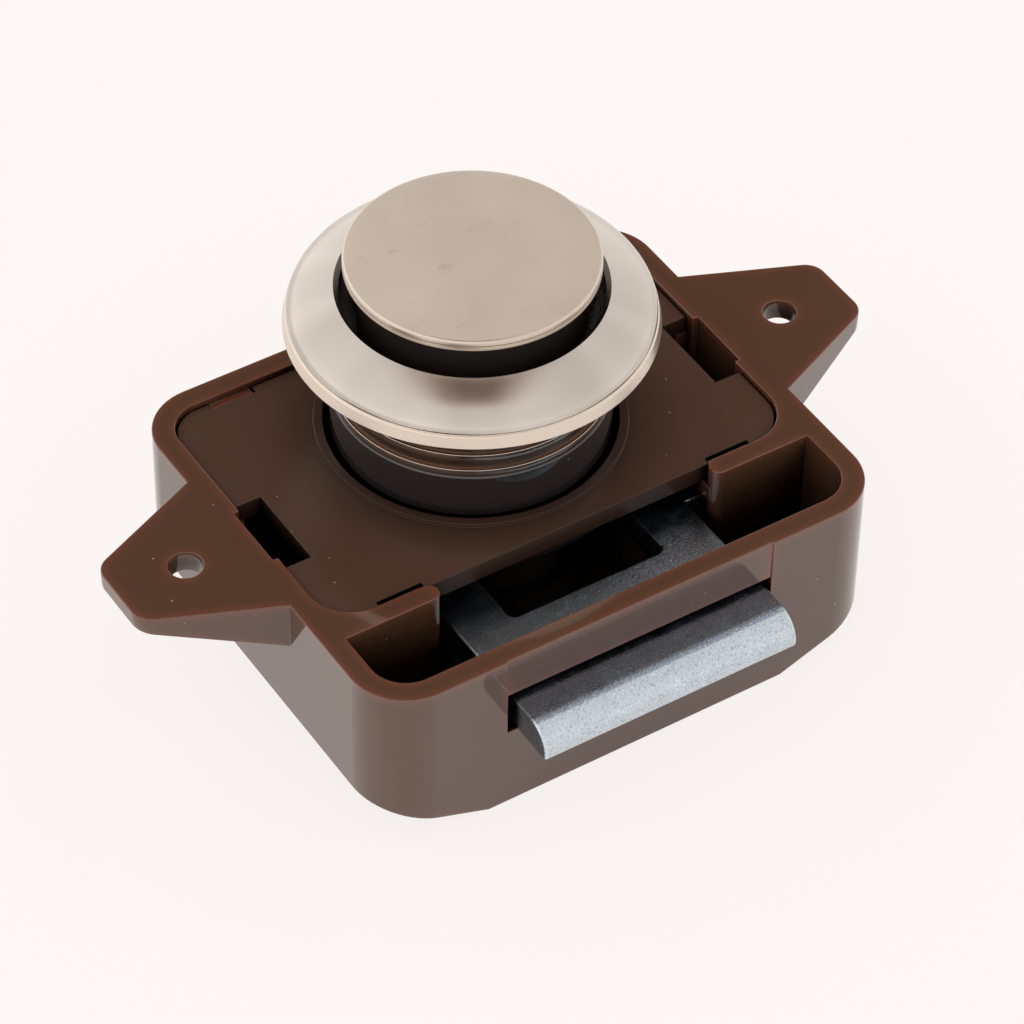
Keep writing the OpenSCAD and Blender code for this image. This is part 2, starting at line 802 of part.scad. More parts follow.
module return_spring() {
    low = floor_z + return_wire / 2 + fit_gap / 3;
    high = -chamber_top - return_wire / 2 - fit_gap / 3;
    path = helix(return_d / 2, (high - low) / return_curls, return_curls, ring_steps);
    echo(return_spring_gap = coil_gap(path, ring_steps, return_wire));
    color(spring_steel) translate([0, 0, low]) wire(path, return_wire);
}

// The bolt: nose, front bar and two arms whose feet ride on the plunger's wedge
module bolt() {
    half = bolt_w / 2;
    inner = window_w / 2;
    contact = slide_gap / 2;
    color(zinc_plate) union() {
        side_section(-half, half, concat(
            [[-window_front, bolt_under], [-window_front, bolt_z]],
            arc([bolt_tip + nose_r, bolt_z - nose_r], nose_r, 90, 180, 10),
            arc([bolt_tip + nose_foot_r, bolt_under + nose_foot_r], nose_foot_r, 180, 270, 4)
        ));
        both_sides() {
            block([inner, -window_front - overlap, bolt_under], [half, arm_rear, bolt_z]);
            difference() {
                block([inner - window_r, -window_front - overlap, bolt_under],
                      [inner + overlap, -window_front + window_r, bolt_z]);
                translate([inner - window_r, -window_front + window_r, bolt_under - overlap])
                    cylinder(h = bolt_t + 2 * overlap, r = window_r);
            }
            side_section(foot_x, inner + overlap, [
                [wedge_y(bolt_z) + contact, bolt_z],
                [wedge_y(bolt_under) + contact, bolt_under],
                [arm_rear, bolt_under],
                [arm_rear, bolt_z]
            ]);
            block([half - overlap, lug_front, bolt_under],
                  [bolt_spring_x + lug_half_w, lug_rear, bolt_z]);
            translate([bolt_spring_x, lug_rear, bolt_mid]) rotate([-90, 0, 0])
                cylinder(h = stud_l, r = stud_r);
        }
    }
}

// Spring from a lug of the bolt back to its abutment in the case
module bolt_spring(side) {
    from = lug_rear + bolt_wire / 2 + fit_gap / 3;
    to = abutment_y - bolt_wire / 2 - fit_gap / 3;
    path = helix(bolt_spring_d / 2, (to - from) / bolt_curls, bolt_curls, ring_steps);
    echo(bolt_spring_gap = coil_gap(path, ring_steps, bolt_wire));
    color(spring_steel) translate([side * bolt_spring_x, from, bolt_mid])
        rotate([-90, 0, 0]) wire(path, bolt_wire);
}

module bolt_spring_left() {
    bolt_spring(-1);
}

module bolt_spring_right() {
    bolt_spring(1);
}

// The latch wire: a tip in the track, an arm, a coil round its post and a tail
module latch_wire() {
    r = latch_coil_d / 2;
    tip_y = track_y - track_depth + slide_gap;
    bend_r = 2 * latch_wire_d;
    coil_rear = coil_front + coil_pitch * latch_half_turns / 2;
    tip = [[0, tip_y, pin_z], [0, (tip_y + coil_front - bend_r) / 2, pin_z]];
    bend = [for (a = [0:30:90])
        [0, coil_front - bend_r + bend_r * sin(a), pin_z - bend_r + bend_r * cos(a)]];
    coil = [for (i = [0:latch_half_turns * ring_steps / 2])
        let (a = -360 * i / ring_steps)
        [r * cos(a), coil_front + coil_pitch * i / ring_steps, post_z + r * sin(a)]];
    tail = [[-r, coil_rear, post_z + 1.5], [-r, coil_rear, post_z + 4]];
    echo(latch_coil_gap = coil_gap(coil, ring_steps, latch_wire_d));
    color(spring_steel) wire(concat(tip, bend, coil, tail), latch_wire_d);
}

case();
cover();
guide_tube();
rosette();
knob_cap();
knob_core();
knob_screw();
plunger();
return_spring();
bolt();
bolt_spring_left();
bolt_spring_right();
latch_wire();
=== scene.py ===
import math

import bmesh
import bpy
from bpy.props import FloatProperty, FloatVectorProperty, PointerProperty
from mathutils import Matrix, Vector


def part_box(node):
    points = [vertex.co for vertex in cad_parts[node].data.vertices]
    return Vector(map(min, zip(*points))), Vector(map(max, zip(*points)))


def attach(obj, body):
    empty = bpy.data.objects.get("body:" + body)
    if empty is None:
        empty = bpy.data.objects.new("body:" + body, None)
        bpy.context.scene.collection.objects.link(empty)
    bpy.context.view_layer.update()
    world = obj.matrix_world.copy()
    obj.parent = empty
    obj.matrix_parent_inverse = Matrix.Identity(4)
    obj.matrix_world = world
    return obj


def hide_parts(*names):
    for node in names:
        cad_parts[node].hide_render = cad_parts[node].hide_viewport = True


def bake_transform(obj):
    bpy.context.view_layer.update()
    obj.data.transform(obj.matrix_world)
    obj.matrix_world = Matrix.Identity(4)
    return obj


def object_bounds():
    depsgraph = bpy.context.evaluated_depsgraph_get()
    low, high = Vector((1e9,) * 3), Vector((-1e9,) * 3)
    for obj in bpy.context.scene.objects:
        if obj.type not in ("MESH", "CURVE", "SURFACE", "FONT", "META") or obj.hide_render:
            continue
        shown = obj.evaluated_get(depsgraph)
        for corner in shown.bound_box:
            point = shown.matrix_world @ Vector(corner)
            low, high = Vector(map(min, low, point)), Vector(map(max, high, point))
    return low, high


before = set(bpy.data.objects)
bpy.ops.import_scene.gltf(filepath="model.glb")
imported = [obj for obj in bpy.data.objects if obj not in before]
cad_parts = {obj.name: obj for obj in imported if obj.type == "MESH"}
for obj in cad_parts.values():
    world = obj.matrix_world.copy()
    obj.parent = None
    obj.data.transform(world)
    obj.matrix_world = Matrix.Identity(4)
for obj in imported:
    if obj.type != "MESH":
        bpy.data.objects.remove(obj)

bl_info = {
    "name": "Push button cabinet lock",
    "version": (1, 0, 0),
    "blender": (4, 5, 0),
    "location": "3D View > Sidebar > Lock",
    "description": "Dresses the solids of a push button cabinet lock with rounded edges, "
                   "turned rims, springs and finishes",
    "category": "Object",
}

CAD_BOX = [list(corner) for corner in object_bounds()]

# Sizes in millimetres that follow the solids

COLLAR_HEIGHT = 6.95
BORE_RADIUS = 11.75
MOUTH_RADIUS = 12.1
BAND_HEIGHT = 1.52
DOME_LEVEL_RADIUS = 4.0
CAP_THICKNESS = 1.35
BOSS_RADIUS = 4.0
SCREW_SEAT_RADIUS = 2.15
SCREW_SEAT_DEPTH = 1.8
RETURN_WIRE, RETURN_RADIUS, RETURN_CURLS = 0.9, 3.7, 6
BOLT_WIRE, BOLT_RADIUS, BOLT_CURLS = 0.5, 1.7, 9
LATCH_WIRE = 0.7
CURL_STEPS = 24

# Black that the painted shade in hollows fades to.
SHADE_BLACK = (0.0, 0.0, 0.0, 1.0)
DUST = (0.42, 0.36, 0.3, 1.0)


class LockSizes(bpy.types.PropertyGroup):
    """Sizes of the lock's dressed pieces."""

    case_edge: FloatProperty(
        name="Case edge", description="Rounding of the case's moulded edges",
        default=0.0001, min=0.00002, max=0.0005, precision=5, unit="LENGTH")
    cover_edge: FloatProperty(
        name="Cover edge", description="Rounding of the cover's moulded edges",
        default=0.00005, min=0.00002, max=0.0003, precision=5, unit="LENGTH")
    tube_edge: FloatProperty(
        name="Tube edge", description="Rounding of the guide tube's edges",
        default=0.00015, min=0.00005, max=0.0003, precision=5, unit="LENGTH")
    bolt_edge: FloatProperty(
        name="Bolt edge", description="Rounding of the bolt's worn edges",
        default=0.00025, min=0.00005, max=0.0005, precision=5, unit="LENGTH")
    foot_edge: FloatProperty(
        name="Foot edge", description="Rounding of the case's outer edges at its foot",
        default=0.0003, min=0.0001, max=0.0012, precision=5, unit="LENGTH")
    collar_radius: FloatProperty(
        name="Collar radius", description="Radius of the rosette's collar between its ribs",
        default=0.0124, precision=5, unit="LENGTH")
    rib_radius: FloatProperty(
        name="Rib radius", description="Radius over the ribs of the rosette's collar",
        default=0.01264, precision=5, unit="LENGTH")
    rib_pitch: FloatProperty(
        name="Rib pitch", description="Distance from one rib of the collar to the next",
        default=0.0018, precision=5, unit="LENGTH")
    rib_width: FloatProperty(
        name="Rib width", description="Width of a rib of the collar",
        default=0.00065, precision=5, unit="LENGTH")
    cap_crown: FloatProperty(
        name="Cap crown", description="How far the knob's top stands up in the middle",
        default=0.0002, min=0.0, max=0.0005, precision=5, unit="LENGTH")


class LockColours(bpy.types.PropertyGroup):
    """Base colours of the lock's finishes."""

    case: FloatVectorProperty(
        name="Case", description="Reddish brown of the case",
        default=(0.09, 0.0425, 0.0245), min=0.0, max=1.0, subtype="COLOR")
    case_edge: FloatVectorProperty(
        name="Case edge", description="Redder brown where light passes through the case's edges",
        default=(0.17, 0.054, 0.03), min=0.0, max=1.0, subtype="COLOR")
    cover: FloatVectorProperty(
        name="Cover", description="Dark brown of the cover",
        default=(0.078, 0.04, 0.0265), min=0.0, max=1.0, subtype="COLOR")
    black: FloatVectorProperty(
        name="Black parts", description="Black of the tube, the knob's core and the plunger",
        default=(0.02, 0.0165, 0.0145), min=0.0, max=1.0, subtype="COLOR")
    nickel: FloatVectorProperty(
        name="Satin nickel", description="Warm nickel of the knob's side and the rosette's ribs",
        default=(0.68, 0.585, 0.5), min=0.0, max=1.0, subtype="COLOR")
    cap: FloatVectorProperty(
        name="Cap nickel", description="Bright warm nickel of the knob's top",
        default=(0.67, 0.6, 0.52), min=0.0, max=1.0, subtype="COLOR")
    # The band's brighter colour is a painted highlight where the band mirrors the pale floor.
    band: FloatVectorProperty(
        name="Band nickel", description="Bright warm nickel of the band round the rosette",
        default=(0.77, 0.67, 0.575), min=0.0, max=1.0, subtype="COLOR")
    # The grooves' dark brown colour is painted shade between the ribs, with a painted reflection
    # of the brown cover.
    groove: FloatVectorProperty(
        name="Groove nickel", description="Dull nickel between the ribs of the rosette's collar",
        default=(0.3, 0.21, 0.16), min=0.0, max=1.0, subtype="COLOR")
    dome: FloatVectorProperty(
        name="Dome nickel", description="Paler nickel of the rosette's dome",
        default=(0.66, 0.6, 0.543), min=0.0, max=1.0, subtype="COLOR")
    zinc: FloatVectorProperty(
        name="Zinc plate", description="Blue-white zinc of the bolt",
        default=(0.58, 0.65, 0.7), min=0.0, max=1.0, subtype="COLOR")
    # Painted shade: the darker zinc that the bolt's upward and end faces get.
    shaded_zinc: FloatVectorProperty(
        name="Dull zinc", description="Dark zinc of the bolt's flats and ends",
        default=(0.34, 0.43, 0.52), min=0.0, max=1.0, subtype="COLOR")
    steel: FloatVectorProperty(
        name="Spring steel", description="Bare steel of the springs and the screw",
        default=(0.42, 0.42, 0.43), min=0.0, max=1.0, subtype="COLOR")


class StageSettings(bpy.types.PropertyGroup):
    """Camera, light tent and floor."""

    azimuth: FloatProperty(
        name="Azimuth", description="Turn of the camera round the lock",
        default=math.radians(-33.137), subtype="ANGLE")
    elevation: FloatProperty(
        name="Elevation", description="Height of the camera above the horizon",
        default=math.radians(44.4446), subtype="ANGLE")
    roll: FloatProperty(
        name="Roll", description="Tilt of the camera about its own axis",
        default=math.radians(1.0397), subtype="ANGLE")
    distance: FloatProperty(
        name="Distance", description="Distance from the camera to the point that it looks at",
        default=0.412563, unit="LENGTH")
    aim: FloatVectorProperty(
        name="Aim", description="Point that the camera looks at",
        default=(-0.001038, -0.008615, -0.004796), precision=5, subtype="TRANSLATION")
    lens: FloatProperty(
        name="Lens", description="Focal length in millimetres on a 36 mm sensor",
        default=162.333)
    floor: FloatVectorProperty(
        name="Floor", description="Off-white of the floor and the backdrop",
        default=(1.0, 0.955, 0.93), min=0.0, max=1.0, subtype="COLOR")
    floor_share: FloatProperty(
        name="Floor share", description="How much of the floor is seen as its plain colour",
        default=0.86, min=0.0, max=1.0, subtype="FACTOR")
    tent_level: FloatProperty(
        name="Tent level", description="Brightness of the light tent's sides",
        default=1.2, min=0.0)
    gap_level: FloatProperty(
        name="Gap level", description="Brightness in the gap over the light tent",
        default=0.17, min=0.0)
    front_level: FloatProperty(
        name="Front level", description="Brightness of the light tent's side towards the camera",
        default=0.95, min=0.0)


def mm(value):
    """Millimetres as metres."""
    return value * 0.001


def span(node, axis):
    """Where a node starts and ends along an axis, in millimetres."""
    low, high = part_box(node)
    return low[axis] * 1000, high[axis] * 1000


def scaled(colour, factor):
    """A colour made lighter or darker, with the alpha that sockets take."""
    return (*(min(1.0, c * factor) for c in colour), 1.0)


# Modelling helpers


def clear_selection():
    """Leave edit mode and deselect everything."""
    if bpy.context.object and bpy.context.object.mode != "OBJECT":
        bpy.ops.object.mode_set(mode="OBJECT")
    bpy.ops.object.select_all(action="DESELECT")


def take_up(piece):
    """Make a piece the only selected and active one."""
    clear_selection()
    piece.select_set(True)
    bpy.context.view_layer.objects.active = piece


def start_at(name, point):
    """Start a piece as a single point, in edit mode with the point selected."""
    clear_selection()
    bpy.ops.mesh.primitive_plane_add(size=mm(1), location=(0, 0, 0))
    piece = bpy.context.object
    piece.name = name
    piece.data.name = name
    bpy.ops.object.mode_set(mode="EDIT")
    bpy.ops.mesh.select_all(action="SELECT")
    bpy.ops.mesh.merge(type="CENTER")
    bpy.ops.transform.translate(value=point)
    return piece


def draw_line(points):
    """Extrude the selected point along a row of points, the first of which it is at."""
    for here, there in zip(points, points[1:]):
        bpy.ops.mesh.extrude_vertices_move(
            TRANSFORM_OT_translate={"value": Vector(there) - Vector(here)})


def close_up(threshold=mm(0.001)):
    """Merge the doubles of the mesh in edit mode and point its faces outwards."""
    bpy.ops.mesh.select_all(action="SELECT")
    bpy.ops.mesh.remove_doubles(threshold=threshold)
    bpy.ops.mesh.normals_make_consistent(inside=False)


def turned(name, section, steps):
    """Turn a half section of radius and height in millimetres round the knob's axis."""
    points = [(mm(r), 0.0, mm(z)) for r, z in section]
    piece = start_at(name, points[0])
    draw_line(points)
    bpy.ops.mesh.select_all(action="SELECT")
    bpy.ops.mesh.spin(steps=steps, angle=math.tau, center=(0, 0, 0), axis=(0, 0, 1))
    close_up()
    bpy.ops.object.mode_set(mode="OBJECT")
    smooth(piece, 31)
    return piece


def arc(centre, radius, start, end, steps):
    """Points of an arc in a section, both ends included, angles in degrees."""
    angles = (math.radians(start + (end - start) * i / steps) for i in range(steps + 1))
    return [(centre[0] + radius * math.cos(a), centre[1] + radius * math.sin(a)) for a in angles]


def bent_wire(name, points, diameter):
    """Draw a wire along points in millimetres and give it a round section with closed ends."""
    path = [tuple(mm(c) for c in p) for p in points]
    wire = start_at(name, path[0])
    draw_line(path)
    bpy.ops.object.mode_set(mode="OBJECT")
    bpy.ops.object.convert(target="CURVE")
    wire.data.bevel_depth = mm(diameter / 2)
    wire.data.bevel_resolution = 3
    wire.data.use_fill_caps = True
    bpy.ops.object.convert(target="MESH")
    bpy.ops.object.mode_set(mode="EDIT")
    close_up()
    bpy.ops.object.mode_set(mode="OBJECT")
    bpy.ops.object.shade_smooth_by_angle(angle=math.radians(40))
    return wire


def copied(name, node, *finishes):
    """Copy a CAD node's shape as a new piece with merged points, whole faces and its finishes."""
    piece = bpy.data.objects.new(name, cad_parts[node].data.copy())
    piece.data.name = name
    bpy.context.scene.collection.objects.link(piece)
    take_up(piece)
    bpy.ops.mesh.customdata_custom_splitnormals_clear()
    bpy.ops.object.mode_set(mode="EDIT")
    bpy.ops.mesh.select_all(action="SELECT")
    bpy.ops.mesh.remove_doubles(threshold=mm(0.001))
    bpy.ops.mesh.dissolve_limited(angle_limit=math.radians(0.4))
    bpy.ops.object.mode_set(mode="OBJECT")
    piece.data.materials.clear()
    for finish in finishes:
        piece.data.materials.append(finish)
    return piece


def round_chosen(piece, chosen, width, segments):
    """Round the edges that a test picks out."""
    take_up(piece)
    bpy.ops.object.mode_set(mode="EDIT")
    bpy.ops.mesh.select_mode(type="EDGE")
    bpy.ops.mesh.select_all(action="DESELECT")
    mesh = bmesh.from_edit_mesh(piece.data)
    for edge in mesh.edges:
        edge.select_set(chosen(edge))
    bmesh.update_edit_mesh(piece.data)
    bpy.ops.mesh.bevel(offset=width, segments=segments, affect="EDGES")
    bpy.ops.mesh.select_mode(type="VERT")
    bpy.ops.object.mode_set(mode="OBJECT")


def smooth(piece, angle):
    """Shade a piece smooth across edges below an angle, with its flats kept level."""
    take_up(piece)
    bpy.ops.object.shade_smooth_by_angle(angle=math.radians(angle))
    flats = piece.modifiers.new("Flats", "WEIGHTED_NORMAL")
    flats.keep_sharp = True
    bpy.ops.object.modifier_apply(modifier=flats.name)


def soften(piece, width, finish=-1):
    """Round a piece's sharp edges, with a finish of their own if one is numbered."""
    take_up(piece)
    rounding = piece.modifiers.new("Rounding", "BEVEL")
    rounding.limit_method = "ANGLE"
    rounding.angle_limit = math.radians(28)
    rounding.width = width
    rounding.segments = 3
    rounding.use_clamp_overlap = False
    rounding.material = finish
    bpy.ops.object.modifier_apply(modifier=rounding.name)
    smooth(piece, 35)


def fit(piece, node, body):
    """Let a dressed piece stand for its node and ride on its body."""
    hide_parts(node)
    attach(piece, body)


def paint(node, finish):
    """Give a CAD node a finish."""
    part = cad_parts[node]
    part.data.materials.clear()
    part.data.materials.append(finish)


# Finish helpers


class Nodes:
    """A node tree that is filled one node after the other."""

    def __init__(self, tree):
        self.tree = tree
        self.tree.nodes.clear()

    def add(self, kind, inputs=None, **settings):
        """Add a node, set it and link or fill its inputs."""
        node = self.tree.nodes.new(kind)
        for key, value in settings.items():
            setattr(node, key, value)
        for key, value in (inputs or {}).items():
            self.put(node.inputs[key], value)
        return node

    def put(self, socket, value):
        """Link a socket to an output, or fill it with a value."""
        if isinstance(value, bpy.types.NodeSocket):
            self.tree.links.new(value, socket)
        else:
            socket.default_value = value

    def math(self, operation, a, b=0.5):
        """One Math node."""
        return self.add("ShaderNodeMath", {0: a, 1: b}, operation=operation).outputs[0]

    def vector(self, operation, a, b=(0.0, 0.0, 0.0)):
        """The outputs of one Vector Math node."""
        return self.add("ShaderNodeVectorMath", {0: a, 1: b}, operation=operation).outputs

    def remap(self, value, low, high, new_low, new_high, kind="LINEAR"):
        """Value from one range to another, clamped."""
        ends = {"From Min": low, "From Max": high, "To Min": new_low, "To Max": new_high}
        node = self.add("ShaderNodeMapRange", {"Value": value, **ends}, interpolation_type=kind)
        return node.outputs["Result"]

    def mix(self, factor, a, b):
        """Mix two colours."""
        return self.add("ShaderNodeMix", {0: factor, 6: a, 7: b}, data_type="RGBA").outputs[2]


class Finish(Nodes):
    """A material with one shader, whose nodes are added one after the other."""

    def __init__(self, name):
        self.material = bpy.data.materials.new(name)
        self.material.use_nodes = True
        super().__init__(self.material.node_tree)
        self.shader = self.add("ShaderNodeBsdfPrincipled")
        surface = self.shader.outputs["BSDF"]
        self.output = self.add("ShaderNodeOutputMaterial", {"Surface": surface})
        self.place = self.add("ShaderNodeTexCoord").outputs["Object"]

    def set(self, **values):
        """Fill or link the shader's sockets, underscores standing for spaces."""
        for key, value in values.items():
            self.put(self.shader.inputs[key.replace("_", " ")], value)

    def noise(self, scale, detail=2.0, rough=0.5, place=None):
        """Soft noise between 0 and 1; scale counts the blotches in a metre."""
        look = {"Scale": scale, "Detail": detail, "Roughness": rough}
        node = self.add("ShaderNodeTexNoise", {"Vector": place or self.place, **look})
        return node.outputs["Fac"]

    def streaks(self, scale, turn, move=(0.0, 0.0, 0.0), detail=2.0, rough=0.5):
        """Noise drawn out by its own scale along each axis, after a turn and a move."""
        place = self.add("ShaderNodeMapping", {
            "Vector": self.place, "Location": move, "Rotation": turn, "Scale": scale})
        return self.noise(1.0, detail, rough, place.outputs["Vector"])

    def spots(self, scale, size, share):
        """Round specks of a size in a share of the cells: 1 on a speck, 0 elsewhere."""
        cells = self.add("ShaderNodeTexVoronoi", {"Vector": self.place, "Scale": scale}).outputs
        near = self.remap(cells["Distance"], size, size * 0.6, 0.0, 1.0)
        chance = self.add("ShaderNodeSeparateColor", {"Color": cells["Color"]}).outputs["Red"]
        return self.math("MULTIPLY", near, self.math("GREATER_THAN", chance, 1.0 - share))

    def openness(self, distance, **settings):
        """How open the surroundings are within a distance in millimetres, from 0 to 1."""
        node = self.add("ShaderNodeAmbientOcclusion", {"Distance": mm(distance)}, samples=8,
                        **settings)
        return node.outputs["AO"]

    def bump(self, height, distance, under=None):
        """A bump of a height in metres, over another one."""
        inputs = {"Height": height, "Distance": distance, "Strength": 1.0}
        if under is not None:
            inputs["Normal"] = under
        return self.add("ShaderNodeBump", inputs).outputs["Normal"]


def moulded_plastic(name, colour, glow=None, gloss=0.06, dust=0.02, ior=1.54, coat=0.0,
                    hollows=0.5):
    """Glossy moulded plastic with dust specks and fine scuffs.

    It goes over to the colour glow where it is thin, a painted glow of light passing through thin
    edges, and has painted shade in hollows that are less open than the value hollows.
    """
    f = Finish(name)
    skin = f.mix(f.noise(90, 3.0), scaled(colour, 0.93), scaled(colour, 1.07))
    if glow is not None:
        # Painted glow: the colour goes over to the redder glow near thin edges, standing in for
        # light that passes through them.
        painted_glow_depth = f.openness(1.2, inside=True, only_local=True)
        skin = f.mix(f.remap(painted_glow_depth, 0.92, 0.35, 0.0, 1.0), skin, (*glow, 1.0))
    specks = f.spots(900, 0.09, dust)
    scuffs = f.remap(f.streaks((2600, 300, 900), (0.3, 0.2, 0.7)), 0.73, 0.8, 0.0, 0.25)
    skin = f.mix(scuffs, skin, scaled(colour, 1.8))
    skin = f.mix(f.math("MULTIPLY", specks, 0.7), skin, DUST)
    f.set(Base_Color=skin, IOR=ior, Coat_Weight=coat)
    # Painted shade: in hollows the colour fades to black and the specular level and coat fade,
    # standing in for the shade there.
    if hollows:
        painted_shade_mask = f.remap(f.openness(12), 0.22, hollows, 0.02, 1.0)
        f.set(Base_Color=f.mix(painted_shade_mask, SHADE_BLACK, skin))
        f.set(Specular_IOR_Level=f.math("MULTIPLY", painted_shade_mask, 0.5))
        if coat:
            f.set(Coat_Weight=f.math("MULTIPLY", painted_shade_mask, coat))
    wear = f.math("ADD", f.noise(260, 3.0), scuffs)
    f.set(Roughness=f.remap(wear, 0.3, 0.9, gloss, gloss + 0.06))
    waves = f.bump(f.noise(120, 1.0), 0.00002)
    f.set(Normal=f.bump(specks, 0.00003, waves))
    return f.material


def satin_nickel(name, colour, rough, smudged=False, fanned=False):
    """Satin nickel plating with a fine pearl grain and faint clouds.

    It can have smudges and fine lines from handling, and a painted reflection: a fan of darker
    rays round the axis.
    """
    f = Finish(name)
    cloud = f.noise(240, 4.0, 0.6)
    grain = f.noise(9000, 1.0)
    tone = f.mix(cloud, scaled(colour, 0.96), scaled(colour, 1.03))
    tone = f.mix(f.remap(grain, 0.35, 0.65, 0.0, 0.1), tone, scaled(colour, 0.75))
    if fanned:
        # Painted reflection: darker rays fanned round the axis stand in for the light tent's
        # structure mirrored in the dome.
        flat = f.vector("MULTIPLY", f.place, (1.0, 1.0, 0.0))["Vector"]
        painted_fan_rays = f.noise(2.2, 1.0, 0.4, f.vector("NORMALIZE", flat)["Vector"])
        tone = f.mix(f.remap(painted_fan_rays, 0.3, 0.7, 0.0, 1.0), tone, scaled(colour, 0.78))
    if smudged:
        lighter = scaled(colour, 1.2)
        tone = f.mix(f.remap(f.noise(85, 2.0), 0.35, 0.65, 0.0, 0.5), tone, lighter)
        smears = f.streaks((330, 900, 420), (0.0, 0.0, 0.5), (3.1, 1.7, 0.4), 4.0, 0.62)
        tone = f.mix(f.remap(smears, 0.64, 0.78, 0.0, 0.35), tone, (0.36, 0.3, 0.25, 1.0))
        lines = f.streaks((160, 5200, 160), (0.0, 0.0, 0.25), detail=1.0, rough=0.4)
        tone = f.mix(f.remap(lines, 0.73, 0.78, 0.0, 0.25), tone, lighter)
    f.set(Base_Color=tone, Metallic=1.0)
    f.set(Roughness=f.remap(cloud, 0.3, 0.7, rough, rough + 0.05))
    f.set(Normal=f.bump(grain, 0.000003))
    return f.material


def zinc_plate(name, colour, worn=0.0):
    """Blue-white zinc over cast metal: coarse grain, specks, slow clouds and worn places."""
    f = Finish(name)
    cloud = f.noise(420, 4.0, 0.6)
    grain = f.noise(4300, 3.0, 0.65)
    tone = f.mix(cloud, scaled(colour, 0.84), scaled(colour, 1.14))
    dark = f.remap(grain, 0.47, 0.33, 0.0, 0.5 - 0.3 * worn)
    tone = f.mix(dark, tone, (0.1, 0.125, 0.15, 1.0))
    rubbed = 0.08 * worn
    bright = f.remap(f.noise(5200, 2.0, 0.6), 0.56 - rubbed, 0.7 - rubbed, 0.0, 0.8)
    tone = f.mix(bright, tone, (0.84, 0.88, 0.92, 1.0))
    f.set(Base_Color=tone, Metallic=1.0, Roughness=f.remap(cloud, 0.3, 0.7, 0.2, 0.3))
    relief = f.bump(grain, 0.00003)
    f.set(Normal=f.bump(cloud, 0.00002, relief))
    return f.material


def spring_steel(name, colour):
    """Drawn steel wire: fine grain and a little oil."""
    f = Finish(name)
    grain = f.noise(2600, 3.0, 0.6)
    f.set(Base_Color=f.mix(grain, scaled(colour, 0.7), scaled(colour, 1.25)), Metallic=1.0)
    f.set(Roughness=f.remap(f.noise(500), 0.3, 0.7, 0.22, 0.38))
    f.set(Normal=f.bump(grain, 0.000008))
    return f.material


# Operators


